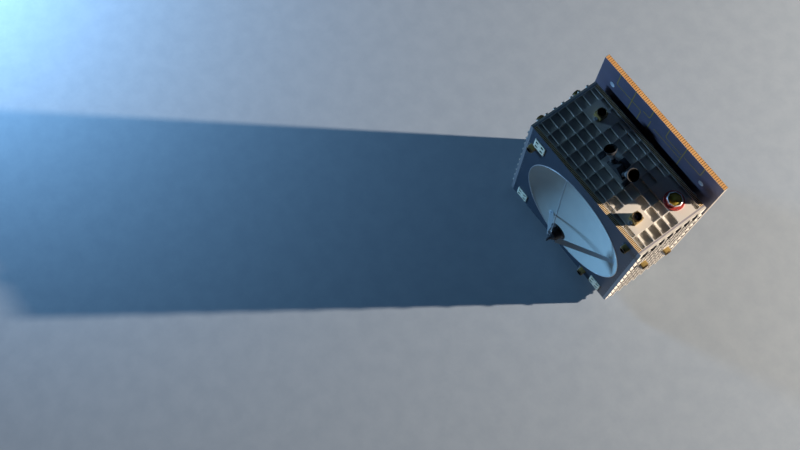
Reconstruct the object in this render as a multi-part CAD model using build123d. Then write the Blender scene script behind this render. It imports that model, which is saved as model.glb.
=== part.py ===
from build123d import *
import os
from math import cos, radians, sin, sqrt

# A small box-shaped satellite standing on its separation ring, in millimetres.
# X runs to the right seen from the dish side, Y runs from the dish side to the
# back of the deck panel, Z is up. The origin is the middle of the ring's foot.
# The pieces are drawn with Y counted from the dish face and moved when written.

# Bus box, without the ribs that stand proud of the side panels. Its width and
# height are the dish with these margins of front panel round it.
dish_margin_left = 76.7
dish_margin_right = 28.7
dish_margin_top = 94.7
dish_margin_bottom = 54.7
bus_depth = 497.0
side_panel_thickness = 22.0
front_panel_thickness = 28.0
rear_panel_thickness = 28.0
grid_panel_thickness = 16.5

# Separation ring under the bus
ring_bolt_circle = 381.0
ring_bolt_count = 24
ring_bolt_hole_radius = 3.3
ring_height = 58.0
ring_wall = 6.0
ring_flange_thickness = 8.0
ring_flange_reach = 13.0

# Machined grid of ribs and pockets on the top and bottom panels
grid_columns = 11
grid_rib_pitch_y = 63.0
grid_full_rows = 6
grid_rib_width = 5.0
grid_floor = 3.0
pocket_corner_radius = 8.0
pocket_corner_share = 0.45

# Taller ribs on the outside of the two side panels
side_rows = 11
side_rib_width = 6.0
side_rib_proud = 9.0
side_floor = 6.0
side_border = 27.0
lug_width = 15.0
lug_length = 20.0
head_pad_margin = 6.0

# Honeycomb deck panel behind the bus
deck_gap = 43.0
deck_thickness = 31.0
deck_overhang_top = 214.0
deck_overhang_left = 28.0
deck_overhang_right = 4.0
deck_closeout = 2.0
spacer_radius = 18.0
spacer_inset = 90.0

# Reflector, set in the front panel
dish_radius = 420.0
dish_depth = 155.0
dish_wall = 3.0
bowl_join_angle = 22.0
rim_width = 5.0
rim_proud = 3.0
rim_depth = 16.0
dish_clearance = 0.3

# Feed at the focus: a disc that faces the bowl, a tapered body, a cap and a
# probe; and the three blades that carry it
feed_disc_radius = 61.0
feed_disc_thickness = 12.0
feed_disc_edge = 3.0
feed_face_distance = 104.0
feed_front_distance = 160.0
feed_shoulder_radius = 52.0
feed_hub_radius = 38.0
feed_cap_radius = 30.0
feed_cap_length = 16.0
feed_tip_radius = 11.0
feed_tip_length = 34.0
strut_angles = (-30.0, 90.0, 210.0)
strut_foot_radius = 357.0
strut_root_distance = 158.0
strut_root_width = 38.0
strut_foot_width = 26.0
strut_thickness = 5.0
strut_pitch = 45.0

# Patch antennas on the dish face
patch_width = 92.0
patch_height = 100.0
patch_thickness = 7.0
patch_window = 23.0
patch_window_spacing_x = 46.0
patch_window_spacing_z = 50.0
patch_window_depth = 4.0

# Sensor heads: a square housing with a round collar, and the angle bracket beside
# it. The wide ones stand on the top, the narrow ones on the dish face and the sides.
wide_head = {
    "across": 60.0, "corner": 5.0, "housing_height": 40.0, "collar_radius": 31.0, "height": 50.0,
    "mouth_radius": 26.0, "mouth_depth": 7.0,
    "bracket_width": 20.0, "bracket_foot": 18.0, "bracket_height": 14.0,
}
narrow_head = {
    "across": 44.0, "corner": 4.0, "housing_height": 28.0, "collar_radius": 22.5, "height": 36.0,
    "mouth_radius": 18.5, "mouth_depth": 5.0,
    "bracket_width": 16.0, "bracket_foot": 14.0, "bracket_height": 28.0,
}
bracket_sheet = 4.0

# Star trackers, tipped apart on a gable-shaped mount
tracker_tilt = 30.0
tracker_barrel_radius = 17.0
tracker_barrel_length = 30.0
tracker_neck_radius = 14.0
tracker_mouth_radius = 40.0
tracker_baffle_length = 78.0
tracker_baffle_wall = 2.0
tracker_bore_start = 8.0
tracker_spacing = 125.0
tracker_neck_height = 50.0
tracker_off_pad_x = 17.0
tracker_off_pad_y = -15.5
mount_depth = 46.0
mount_outer_reach = 20.0

# Octagonal sensor: a frame round a low pyramid, on a round base
octagon_across = 92.0
octagon_frame_height = 22.0
octagon_frame_wall = 6.0
octagon_fit = 0.3
octagon_eave_height = 15.0
octagon_peak_height = 24.0
octagon_peak_across = 14.0
octagon_base_radius = 63.0
octagon_base_thickness = 8.0
octagon_off_pad_x = 10.4
octagon_off_pad_y = -2.5

# Solar strings on the back of the deck, target discs on its front
string_columns = 6
string_gap = 12.0
string_border = 22.0
string_thickness = 1.5
target_radius = 19.0
target_thickness = 1.5

# Battery and tank, as one block standing on the bottom panel
block_width = 420.0
block_depth = 190.0
block_height = 330.0
block_clearance = 30.0

# Sizes and places that follow from the sizes above
dish_hole_radius = dish_radius + rim_width + dish_clearance
bus_width = 2 * (side_panel_thickness + dish_hole_radius) + dish_margin_left + dish_margin_right
bus_height = 2 * dish_hole_radius + dish_margin_top + dish_margin_bottom
bus_bottom = ring_height
bus_top = ring_height + bus_height
inner_half_width = bus_width / 2 - side_panel_thickness
rear_panel_front = bus_depth - rear_panel_thickness
grid_depth = rear_panel_front - front_panel_thickness
deck_front = bus_depth + deck_gap
deck_back = deck_front + deck_thickness
deck_top = bus_top + deck_overhang_top
deck_left = -bus_width / 2 - deck_overhang_left
deck_right = bus_width / 2 + deck_overhang_right
dish_centre_x = -inner_half_width + dish_margin_left + dish_hole_radius
dish_centre_z = bus_bottom + dish_margin_bottom + dish_hole_radius
bus_middle_y = bus_depth / 2
half_an_eighth = 180 / 8

os.makedirs("parts", exist_ok=True)


def save(name, *solids):
    placed = [Pos(0, -bus_middle_y, 0) * solid for solid in solids]
    body = placed[0] if len(placed) == 1 else Compound(children=placed)
    export_step(body, f"parts/{name}.step")


def block(x0, x1, y0, y1, z0, z1):
    """A box between two corners."""
    centre = Pos((x0 + x1) / 2, (y0 + y1) / 2, (z0 + z1) / 2)
    return centre * Box(x1 - x0, y1 - y0, z1 - z0)


# Rows of the top and bottom grids: full rows in the middle of the panel, and a
# narrow one at each end. Columns: from_y, to_y of each row between rib centres.
row_lines = [front_panel_thickness]
first_line = front_panel_thickness + (grid_depth - grid_full_rows * grid_rib_pitch_y) / 2
row_lines += [first_line + i * grid_rib_pitch_y for i in range(grid_full_rows + 1)]
row_lines += [rear_panel_front]
column_pitch = 2 * inner_half_width / grid_columns
column_lines = [-inner_half_width + i * column_pitch for i in range(grid_columns + 1)]


def pockets(column_lines, row_lines, rib, radius, left_solid=None):
    """Outlines of the pockets between two sets of rib lines, on the XY plane."""
    cells = []
    for i in range(len(column_lines) - 1):
        for j in range(len(row_lines) - 1):
            if left_solid and left_solid(i, j):
                continue
            width = column_lines[i + 1] - column_lines[i] - rib
            length = row_lines[j + 1] - row_lines[j] - rib
            middle_x = (column_lines[i] + column_lines[i + 1]) / 2
            middle_y = (row_lines[j] + row_lines[j + 1]) / 2
            corner = min(radius, width * pocket_corner_share, length * pocket_corner_share)
            cells.append(Pos(middle_x, middle_y) * RectangleRounded(width, length, corner))
    return cells


# Flat pads on the top grid: the first and last column, and row, of the pockets
# that are left solid.
pad_columns = {"left_head": (1, 2), "right_head": (8, 9), "trackers": (4, 6), "octagon": (8, 10)}
pad_rows = {"left_head": (5, 6), "right_head": (1, 2), "trackers": (3, 4), "octagon": (5, 6)}


def on_top_pad(i, j):
    for pad in pad_columns:
        in_columns = pad_columns[pad][0] <= i <= pad_columns[pad][1]
        in_rows = pad_rows[pad][0] <= j <= pad_rows[pad][1]
        if in_columns and in_rows:
            return True
    return False


def pad_place(pad, off_x, off_y):
    """A place on a pad of the top grid, from the pad's middle."""
    first_column, last_column = pad_columns[pad]
    first_row, last_row = pad_rows[pad]
    x = (column_lines[first_column] + column_lines[last_column + 1]) / 2 + off_x
    y = (row_lines[first_row] + row_lines[last_row + 1]) / 2 + off_y
    return x, y


# Top panel, machined from a plate, pockets open upwards
top_plate = block(-inner_half_width, inner_half_width, front_panel_thickness, rear_panel_front,
                  bus_top - grid_panel_thickness, bus_top)
top_cells = pockets(column_lines, row_lines, grid_rib_width, pocket_corner_radius, on_top_pad)
top_floor_z = bus_top - grid_panel_thickness + grid_floor
top_plate -= [extrude(Pos(0, 0, top_floor_z) * cell, amount=grid_panel_thickness) for cell in top_cells]
save("top_grid_panel", top_plate)

# Bottom panel: the same grid facing down, left solid where the ring is bolted on
ring_land_radius = ring_bolt_circle / 2 + ring_flange_reach + pocket_corner_radius


def under_ring(i, j):
    near_x = min(abs(column_lines[i]), abs(column_lines[i + 1]))
    near_y = min(abs(row_lines[j] - bus_middle_y), abs(row_lines[j + 1] - bus_middle_y))
    if column_lines[i] < 0 < column_lines[i + 1]:
        near_x = 0
    if row_lines[j] < bus_middle_y < row_lines[j + 1]:
        near_y = 0
    return sqrt(near_x ** 2 + near_y ** 2) < ring_land_radius


bottom_plate = block(-inner_half_width, inner_half_width, front_panel_thickness, rear_panel_front,
                     bus_bottom, bus_bottom + grid_panel_thickness)
bottom_cells = pockets(column_lines, row_lines, grid_rib_width, pocket_corner_radius, under_ring)
bottom_floor_z = bus_bottom + grid_panel_thickness - grid_floor
bottom_plate -= [extrude(Pos(0, 0, bottom_floor_z) * cell, amount=-grid_panel_thickness)
                 for cell in bottom_cells]
save("bottom_grid_panel", bottom_plate)

# Front panel, honeycomb, cut out round the reflector
front_panel = block(-inner_half_width, inner_half_width, 0, front_panel_thickness, bus_bottom, bus_top)
dish_axis = Pos(dish_centre_x, 0, dish_centre_z) * Rot(-90, 0, 0)
front_panel -= dish_axis * Pos(0, 0, front_panel_thickness / 2) * Cylinder(
    dish_hole_radius, front_panel_thickness * 2)
save("front_panel", front_panel)

# Rear panel, honeycomb
rear_panel = block(-inner_half_width, inner_half_width, rear_panel_front, bus_depth, bus_bottom, bus_top)
save("rear_panel", rear_panel)

# Side panels: pockets open outwards, ribs that stand proud and run out to the
# edges, a lug at each rib end, and a pad as high as the ribs under each sensor head.
side_rib_lines_y = row_lines[1:-1]
side_lines_y = [side_border] + side_rib_lines_y + [bus_depth - side_border]
side_pitch_z = (bus_height - 2 * side_border) / side_rows
side_lines_z = [bus_bottom + side_border + i * side_pitch_z for i in range(side_rows + 1)]
side_outer_x = bus_width / 2 + side_rib_proud
pad_half = narrow_head["across"] / 2 + head_pad_margin
pad_front = pad_half + narrow_head["bracket_foot"]

# Sensor heads on the side panels, the middle of each housing.
# Columns: name, y, below_bus_top; and of the panels: which, side, heads
left_heads = [("sensor_head_left_front", 118, 112), ("sensor_head_left_rear", 400, 108)]
right_heads = [("sensor_head_right_front", 92, 290), ("sensor_head_right_rear", 335, 470)]
side_panels = [("left", -1, left_heads), ("right", 1, right_heads)]


def proud_block(half_y, y, half_z, z):
    return block(bus_width / 2 - side_floor, side_outer_x, y - half_y, y + half_y, z - half_z, z + half_z)


side_cells = pockets(side_lines_y, side_lines_z, side_rib_width, pocket_corner_radius)
side_plate = block(inner_half_width, bus_width / 2, 0, bus_depth, bus_bottom, bus_top)
# the sketch lies on the YZ plane: its X is the part's Y, its Y is the part's Z
side_floor_plane = Plane.YZ.offset(inner_half_width + side_floor)
side_plate -= [extrude(side_floor_plane * cell, amount=side_panel_thickness) for cell in side_cells]
side_middle_z = (bus_bottom + bus_top) / 2
raised = []
for y in side_rib_lines_y:
    raised.append(proud_block(side_rib_width / 2, y, bus_height / 2, side_middle_z))
    for z in (bus_bottom + lug_length / 2, bus_top - lug_length / 2):
        raised.append(proud_block(lug_width / 2, y, lug_length / 2, z))
for z in side_lines_z[1:-1]:
    raised.append(proud_block(bus_depth / 2, bus_middle_y, side_rib_width / 2, z))
    for y in (lug_length / 2, bus_depth - lug_length / 2):
        raised.append(proud_block(lug_length / 2, y, lug_width / 2, z))
side_plate += raised
for which, side, side_heads in side_panels:
    pads = [block(inner_half_width, side_outer_x, y - pad_front, y + pad_half,
                  bus_top - below - pad_half, bus_top - below + pad_half)
            for head_name, y, below in side_heads]
    panel = side_plate + pads
    if side < 0:
        panel = mirror(panel, about=Plane.YZ)
    save(f"{which}_grid_panel", panel)

# Deck panel, with closeout strips on its two ends, on spacers behind the bus
deck_panel = block(deck_left + deck_closeout, deck_right - deck_closeout, deck_front, deck_back,
                   bus_bottom, deck_top)
save("deck_panel", deck_panel)
closeouts = []
for x0 in (deck_left, deck_right - deck_closeout):
    closeouts.append(block(x0, x0 + deck_closeout, deck_front, deck_back, bus_bottom, deck_top))
save("deck_closeouts", *closeouts)
spacers = []
for x in (-inner_half_width + spacer_inset, 0, inner_half_width - spacer_inset):
    for z in (bus_bottom + spacer_inset, (bus_bottom + bus_top) / 2, bus_top - spacer_inset):
        spacers.append(Pos(x, bus_depth + deck_gap / 2, z) * Rot(90, 0, 0)
                       * Cylinder(spacer_radius, deck_gap))
save("deck_spacers", *spacers)


# Reflector bowl. The meridian of each face is two arcs that meet without a
# corner: one about a centre on the axis, then one out to the rim.
def bowl_depth(radius):
    return dish_depth * (1 - (radius / dish_radius) ** 2)


vertex_curve = dish_radius ** 2 / (2 * dish_depth)
rim_slope = 2 * dish_depth / dish_radius
rim_edge = dish_wall * sqrt(1 + rim_slope ** 2)


def meridian(curve, rim_y):
    """The two arcs of one bowl face, from the axis out to the rim."""
    centre_y = dish_depth - vertex_curve
    angles = (0, bowl_join_angle / 2, bowl_join_angle)
    points = [(curve * sin(radians(a)), centre_y + curve * cos(radians(a))) for a in angles]
    outwards = (cos(radians(bowl_join_angle)), -sin(radians(bowl_join_angle)))
    return [ThreePointArc(*points), TangentArc(points[-1], (dish_radius, rim_y), tangent=outwards)]


bowl_outline = meridian(vertex_curve, 0) + meridian(vertex_curve + dish_wall, rim_edge)
bowl_outline.append(Line((dish_radius, 0), (dish_radius, rim_edge)))
bowl_outline.append(Line((0, dish_depth), (0, dish_depth + dish_wall)))
bowl = revolve(make_face(Wire(bowl_outline)), Axis.Y, 360)
save("reflector_bowl", Pos(dish_centre_x, 0, dish_centre_z) * bowl)

# Rim ring round the bowl
rim = Cylinder(dish_radius + rim_width, rim_depth + rim_proud) - Cylinder(dish_radius, rim_depth + rim_proud)
save("reflector_rim", dish_axis * Pos(0, 0, (rim_depth - rim_proud) / 2) * rim)

# Feed. Along the dish axis, forward of the face is negative.
disc = Cylinder(feed_disc_radius, feed_disc_thickness)
disc = Pos(0, 0, -(feed_face_distance + feed_disc_thickness / 2)) * fillet(disc.edges(), feed_disc_edge)
shoulder_distance = feed_face_distance + feed_disc_thickness
taper_length = feed_front_distance - shoulder_distance
drum = disc + Pos(0, 0, -(shoulder_distance + taper_length / 2)) * Cone(
    feed_hub_radius, feed_shoulder_radius, taper_length)
save("feed_drum", dish_axis * drum)
cap = Pos(0, 0, -(feed_front_distance + feed_cap_length / 2)) * Cylinder(feed_cap_radius, feed_cap_length)
save("feed_cap", dish_axis * cap)
tip_start = feed_front_distance + feed_cap_length
tip = Pos(0, 0, -(tip_start + feed_tip_length / 2)) * Cylinder(feed_tip_radius, feed_tip_length)
save("feed_tip", dish_axis * tip)

# Struts: flat blades from the feed's taper to the bowl, each feathered about its
# own length.
strut_names = ("feed_strut_upper_left", "feed_strut_right", "feed_strut_lower_left")
foot_depth = bowl_depth(strut_foot_radius)
for name, angle in zip(strut_names, strut_angles):
    turn = radians(angle)
    across = Vector(sin(turn), 0, cos(turn))
    around = Vector(cos(turn), 0, -sin(turn))
    centre = Vector(dish_centre_x, 0, dish_centre_z)
    root = centre + across * (feed_hub_radius - strut_thickness) + Vector(0, -strut_root_distance, 0)
    foot = centre + across * strut_foot_radius + Vector(0, foot_depth, 0)
    along = (foot - root).normalized()
    outward = around.cross(along).normalized()
    wide = outward * sin(radians(strut_pitch)) + around * cos(radians(strut_pitch))
    length = (foot - root).length
    blade_plane = Plane(origin=root, x_dir=along, z_dir=along.cross(wide))
    outline = Polyline((0, -strut_root_width / 2), (length, -strut_foot_width / 2),
                       (length, strut_foot_width / 2), (0, strut_root_width / 2),
                       (0, -strut_root_width / 2))
    blade = extrude(blade_plane * make_face(outline), amount=strut_thickness / 2, both=True)
    blade -= dish_axis * drum
    blade -= Pos(dish_centre_x, 0, dish_centre_z) * bowl
    save(name, blade.solids().sort_by(SortBy.VOLUME)[-1])


# Places on the dish face are counted from the nearer side panel and from the top
# or bottom of the bus: side -1 is left, end -1 is the bottom.
def face_place(side, from_side, end, from_end):
    x = side * (inner_half_width - from_side)
    z = bus_top - from_end if end > 0 else bus_bottom + from_end
    return x, z


# Patch antennas. Columns: name, side, from_side, end, from_end
patches = [
    ("patch_antenna_upper_left", -1, 89, 1, 117),
    ("patch_antenna_lower_left", -1, 89, -1, 78),
    ("patch_antenna_lower_right", 1, 102, -1, 72),
]
for name, side, from_side, end, from_end in patches:
    x, z = face_place(side, from_side, end, from_end)
    middle = Pos(x, -patch_thickness / 2, z)
    patch = Box(patch_width, patch_thickness, patch_height)
    for dx in (-0.5, 0.5):
        for dz in (-0.5, 0.5):
            window = Box(patch_window, patch_window_depth, patch_window)
            patch -= Pos(dx * patch_window_spacing_x, -(patch_thickness - patch_window_depth) / 2,
                         dz * patch_window_spacing_z) * window
    save(name, middle * patch)


# Sensor heads and brackets, drawn standing on the XY plane, bracket towards -Y
def sensor_head(sizes):
    head = extrude(RectangleRounded(sizes["across"], sizes["across"], sizes["corner"]),
                   amount=sizes["housing_height"])
    middle_of_collar = (sizes["housing_height"] + sizes["height"]) / 2
    collar = Cylinder(sizes["collar_radius"], sizes["height"] - sizes["housing_height"])
    mouth = Cylinder(sizes["mouth_radius"], sizes["mouth_depth"])
    head += Pos(0, 0, middle_of_collar) * collar
    head -= Pos(0, 0, sizes["height"] - sizes["mouth_depth"] / 2) * mouth
    return head


def head_bracket(sizes):
    half = sizes["bracket_width"] / 2
    near = -sizes["across"] / 2
    foot = block(-half, half, near - sizes["bracket_foot"], near, 0, bracket_sheet)
    web = block(-half, half, near - bracket_sheet, near, 0, sizes["bracket_height"])
    return foot + web


facing_front = Rot(90, 0, 0) * Rot(0, 0, -90)
facing_sideways = {-1: Rot(0, -90, 0), 1: Rot(0, 90, 0)}

# Heads on the pads of the top grid. Columns: name, pad, off_x, off_y
top_heads = [("sensor_head_top_left", "left_head", -2, -0.5),
             ("sensor_head_top_right", "right_head", 9.5, -5.5)]
# Heads on the dish face. Columns: name, side, from_side, end, from_end
front_heads = [("sensor_head_front_left", -1, 44, 1, 202),
               ("sensor_head_front_right", 1, 72, 1, 83),
               ("sensor_head_front_low", 1, 216, -1, 52)]
# All heads. Columns: name, bracket node, sizes, turn, place
heads = []
for name, pad, off_x, off_y in top_heads:
    x, y = pad_place(pad, off_x, off_y)
    heads.append((name, "brackets_top", wide_head, Rot(0, 0, 0), (x, y, bus_top)))
for name, side, from_side, end, from_end in front_heads:
    x, z = face_place(side, from_side, end, from_end)
    heads.append((name, "brackets_front", narrow_head, facing_front, (x, 0, z)))
for which, side, side_heads in side_panels:
    for name, y, below in side_heads:
        place = (side * side_outer_x, y, bus_top - below)
        heads.append((name, f"brackets_{which}", narrow_head, facing_sideways[side], place))
brackets = {}
for name, bracket_node, sizes, turned, place in heads:
    save(name, Pos(*place) * turned * sensor_head(sizes))
    brackets.setdefault(bracket_node, []).append(Pos(*place) * turned * head_bracket(sizes))
for bracket_node, pieces in brackets.items():
    save(bracket_node, *pieces)

# Star trackers: barrel and flared baffle, on the slopes of the mount.
# Columns: name, side
tracker_middle_x, tracker_y = pad_place("trackers", tracker_off_pad_x, tracker_off_pad_y)
for name, side in (("star_tracker_left", -1), ("star_tracker_right", 1)):
    neck = Pos(tracker_middle_x + side * tracker_spacing / 2, tracker_y, bus_top + tracker_neck_height)
    barrel = Pos(0, 0, -tracker_barrel_length / 2) * Cylinder(tracker_barrel_radius, tracker_barrel_length)
    cone = Pos(0, 0, tracker_baffle_length / 2) * Cone(
        tracker_neck_radius, tracker_mouth_radius, tracker_baffle_length)
    bore = Pos(0, 0, tracker_baffle_length / 2 + tracker_bore_start) * Cone(
        tracker_neck_radius - tracker_baffle_wall, tracker_mouth_radius - tracker_baffle_wall,
        tracker_baffle_length)
    save(name, neck * Rot(0, side * tracker_tilt, 0) * (barrel + cone - bore))

# Mount: two slopes that meet at a ridge, square to the trackers
slope = radians(tracker_tilt)
seat_x = tracker_spacing / 2 - tracker_barrel_length * sin(slope)
seat_z = tracker_neck_height - tracker_barrel_length * cos(slope)
mount_half = seat_x + mount_outer_reach
ridge_z = seat_z + seat_x * sin(slope) / cos(slope)
edge_z = ridge_z - mount_half * sin(slope) / cos(slope)
gable = Polyline((-mount_half, 0), (mount_half, 0), (mount_half, edge_z), (0, ridge_z),
                 (-mount_half, edge_z), (-mount_half, 0))
tracker_mount = extrude(Plane.XZ * make_face(gable), amount=mount_depth / 2, both=True)
save("star_tracker_mount", Pos(tracker_middle_x, tracker_y, bus_top) * tracker_mount)

# Electronics boxes round the trackers' mount. Columns: name, off_x, off_y, width, depth, height
boxes = [
    ("tracker_box_left", -120, -19, 34, 46, 26),
    ("tracker_box_right", 96, -19, 26, 50, 26),
    ("tracker_box_middle", 0, 51, 60, 40, 30),
]
for name, off_x, off_y, width, depth, height in boxes:
    x = tracker_middle_x + off_x
    y = tracker_y + off_y
    save(name, Pos(x, y, bus_top + height / 2) * Box(width, depth, height))


# Octagonal sensor: round base, frame open at the top, and the pyramid inside it
def octagon(across):
    """An octagon of that size across its flats."""
    return RegularPolygon(across / 2 / cos(radians(half_an_eighth)), 8)


octagon_x, octagon_y = pad_place("octagon", octagon_off_pad_x, octagon_off_pad_y)
base_place = Pos(octagon_x, octagon_y, bus_top)
base = Pos(0, 0, octagon_base_thickness / 2) * Cylinder(octagon_base_radius, octagon_base_thickness)
save("octagonal_base", base_place * base)
frame_place = base_place * Pos(0, 0, octagon_base_thickness)
frame_inside = octagon_across - 2 * octagon_frame_wall
octagonal_frame = extrude(octagon(octagon_across), amount=octagon_frame_height)
octagonal_frame -= extrude(octagon(frame_inside), amount=octagon_frame_height)
save("octagonal_frame", frame_place * octagonal_frame)
cover_across = frame_inside - 2 * octagon_fit
cover = extrude(octagon(cover_across), amount=octagon_eave_height)
cover += loft([Pos(0, 0, octagon_eave_height) * octagon(cover_across),
               Pos(0, 0, octagon_peak_height) * octagon(octagon_peak_across)])
save("octagonal_cover", frame_place * cover)

# Target discs on the deck's front. Columns: side, from_deck_edge, above_bus_top
targets = [(-1, 118, 51), (1, 128, 62)]
discs = []
for side, from_deck_edge, above_bus_top in targets:
    disc_x = deck_left + from_deck_edge if side < 0 else deck_right - from_deck_edge
    discs.append(Pos(disc_x, deck_front - target_thickness / 2, bus_top + above_bus_top)
                 * Rot(90, 0, 0) * Cylinder(target_radius, target_thickness))
save("deck_targets", *discs)

# Solar strings on the deck's back
strings = []
string_area = deck_right - deck_left - 2 * string_border
string_width = (string_area - (string_columns - 1) * string_gap) / string_columns
for i in range(string_columns):
    x0 = deck_left + string_border + i * (string_width + string_gap)
    strings.append(block(x0, x0 + string_width, deck_back, deck_back + string_thickness,
                         bus_bottom + string_border, deck_top - string_border))
save("solar_strings", *strings)

# Separation ring: a wall between a top flange and a drilled foot flange
ring_middle = Pos(0, bus_middle_y, 0)
flange_outer = ring_bolt_circle / 2 + ring_flange_reach
flange_inner = ring_bolt_circle / 2 - ring_flange_reach
wall_outer = flange_inner + ring_wall
ring = Pos(0, 0, ring_flange_thickness / 2) * Cylinder(flange_outer, ring_flange_thickness)
ring += Pos(0, 0, ring_height - ring_flange_thickness / 2) * Cylinder(flange_outer, ring_flange_thickness)
ring += Pos(0, 0, ring_height / 2) * Cylinder(wall_outer, ring_height)
ring -= Pos(0, 0, ring_height / 2) * Cylinder(flange_inner, ring_height)
bolt_row = PolarLocations(ring_bolt_circle / 2, ring_bolt_count)
for spot in bolt_row:
    ring -= spot * Pos(0, 0, ring_height / 2) * Cylinder(ring_bolt_hole_radius, ring_height)
save("separation_ring", ring_middle * ring)

# Battery and tank block
block_z = bus_bottom + grid_panel_thickness
block_back = rear_panel_front - block_clearance
inner_block = block(-block_width / 2, block_width / 2, block_back - block_depth, block_back,
                    block_z, block_z + block_height)
save("equipment_block", inner_block)
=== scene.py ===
from math import cos, pi, radians, sin, sqrt

import bmesh
import bpy
from mathutils import Matrix, Vector


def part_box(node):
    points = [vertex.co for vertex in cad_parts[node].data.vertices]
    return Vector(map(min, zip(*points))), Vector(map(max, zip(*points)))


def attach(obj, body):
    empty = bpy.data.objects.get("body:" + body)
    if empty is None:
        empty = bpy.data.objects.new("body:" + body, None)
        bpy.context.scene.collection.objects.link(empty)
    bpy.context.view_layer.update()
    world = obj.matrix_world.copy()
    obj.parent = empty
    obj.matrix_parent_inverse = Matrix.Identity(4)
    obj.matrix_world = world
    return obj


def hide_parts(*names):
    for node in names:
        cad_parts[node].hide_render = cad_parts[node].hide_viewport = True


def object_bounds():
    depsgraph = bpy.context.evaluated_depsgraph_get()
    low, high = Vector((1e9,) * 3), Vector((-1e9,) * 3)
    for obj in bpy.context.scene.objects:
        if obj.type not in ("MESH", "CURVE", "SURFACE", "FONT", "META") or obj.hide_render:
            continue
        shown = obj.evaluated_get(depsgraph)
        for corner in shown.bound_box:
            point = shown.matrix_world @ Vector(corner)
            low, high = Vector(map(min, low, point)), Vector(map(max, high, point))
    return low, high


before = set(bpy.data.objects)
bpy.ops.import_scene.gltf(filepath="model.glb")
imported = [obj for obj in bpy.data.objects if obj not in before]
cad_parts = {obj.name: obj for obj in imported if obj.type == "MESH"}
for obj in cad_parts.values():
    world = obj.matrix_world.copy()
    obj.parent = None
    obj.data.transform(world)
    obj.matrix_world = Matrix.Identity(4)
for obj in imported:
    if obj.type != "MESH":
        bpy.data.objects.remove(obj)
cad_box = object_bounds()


# Separation ring, on which the satellite stands: turned aluminium, clear
# anodised, two flanges and a wall. Cap screws under its upper flange hold it to
# the bottom panel; the holes of its foot flange stay open for the clamp's bolts.
mix_factor, mix_first, mix_second, mix_result = 0, 6, 7, 2
touching = 1e-6


def coat(name, tone, second, rough, metal=0.0, grain=400.0, relief=0.15, stretch=(1, 1, 1),
         clear=0.0):
    """A finish whose colour drifts between two tones, with uneven gloss and a fine grain."""
    material = bpy.data.materials.new(name)
    material.use_nodes = True
    nodes = material.node_tree.nodes
    link = material.node_tree.links.new
    shader = nodes["Principled BSDF"]
    shader.inputs["Metallic"].default_value = metal
    shader.inputs["Coat Weight"].default_value = clear
    place = nodes.new("ShaderNodeTexCoord")
    drift = nodes.new("ShaderNodeTexNoise")
    drift.inputs["Scale"].default_value = 9.0
    drift.inputs["Detail"].default_value = 5.0
    link(place.outputs["Object"], drift.inputs["Vector"])
    spread = nodes.new("ShaderNodeMapRange")
    spread.inputs["From Min"].default_value = 0.35
    spread.inputs["From Max"].default_value = 0.65
    link(drift.outputs["Fac"], spread.inputs["Value"])
    tones = nodes.new("ShaderNodeMix")
    tones.data_type = "RGBA"
    tones.inputs[mix_first].default_value = (*tone, 1)
    tones.inputs[mix_second].default_value = (*second, 1)
    link(spread.outputs["Result"], tones.inputs[mix_factor])
    link(tones.outputs[mix_result], shader.inputs["Base Color"])
    brushing = nodes.new("ShaderNodeMapping")
    brushing.inputs["Scale"].default_value = stretch
    link(place.outputs["Object"], brushing.inputs["Vector"])
    speckle = nodes.new("ShaderNodeTexNoise")
    speckle.inputs["Scale"].default_value = grain
    speckle.inputs["Detail"].default_value = 3.0
    link(brushing.outputs["Vector"], speckle.inputs["Vector"])
    uneven = 0.25
    gloss = nodes.new("ShaderNodeMapRange")
    gloss.inputs["To Min"].default_value = rough * (1 - uneven)
    gloss.inputs["To Max"].default_value = min(1.0, rough * (1 + uneven))
    link(speckle.outputs["Fac"], gloss.inputs["Value"])
    link(gloss.outputs["Result"], shader.inputs["Roughness"])
    bump = nodes.new("ShaderNodeBump")
    bump.inputs["Strength"].default_value = relief
    bump.inputs["Distance"].default_value = 0.0005
    link(speckle.outputs["Fac"], bump.inputs["Height"])
    link(bump.outputs["Normal"], shader.inputs["Normal"])
    return material


def finish(material, *nodes):
    """Gives CAD nodes their finish."""
    for node in nodes:
        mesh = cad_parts[node].data
        mesh.materials.clear()
        mesh.materials.append(material)


def shape(bm):
    """A mesh from a bmesh, its faces turned outwards."""
    bmesh.ops.recalc_face_normals(bm, faces=bm.faces)
    mesh = bpy.data.meshes.new("shape")
    bm.to_mesh(mesh)
    bm.free()
    return mesh


def turned(profile, steps, closed=False):
    """A mesh turned about Z from a profile of (radius, height) points."""
    bm = bmesh.new()
    points = [bm.verts.new((radius, 0, height)) for radius, height in profile]
    edges = [bm.edges.new(pair) for pair in zip(points, points[1:])]
    if closed:
        edges.append(bm.edges.new((points[-1], points[0])))
    bmesh.ops.spin(bm, geom=points + edges, cent=(0, 0, 0), axis=(0, 0, 1), angle=2 * pi,
                   steps=steps, use_merge=True)
    bmesh.ops.remove_doubles(bm, verts=bm.verts, dist=touching)
    return shape(bm)


def put(bm, mesh, places, finish_index=None):
    """Adds a copy of a mesh at each place, in one of the piece's finishes."""
    for place in places:
        first_vert, first_face = len(bm.verts), len(bm.faces)
        bm.from_mesh(mesh)
        bm.verts.ensure_lookup_table()
        bm.faces.ensure_lookup_table()
        bmesh.ops.transform(bm, matrix=place, verts=bm.verts[first_vert:])
        if finish_index is not None:
            for face in bm.faces[first_face:]:
                face.material_index = finish_index


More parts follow.
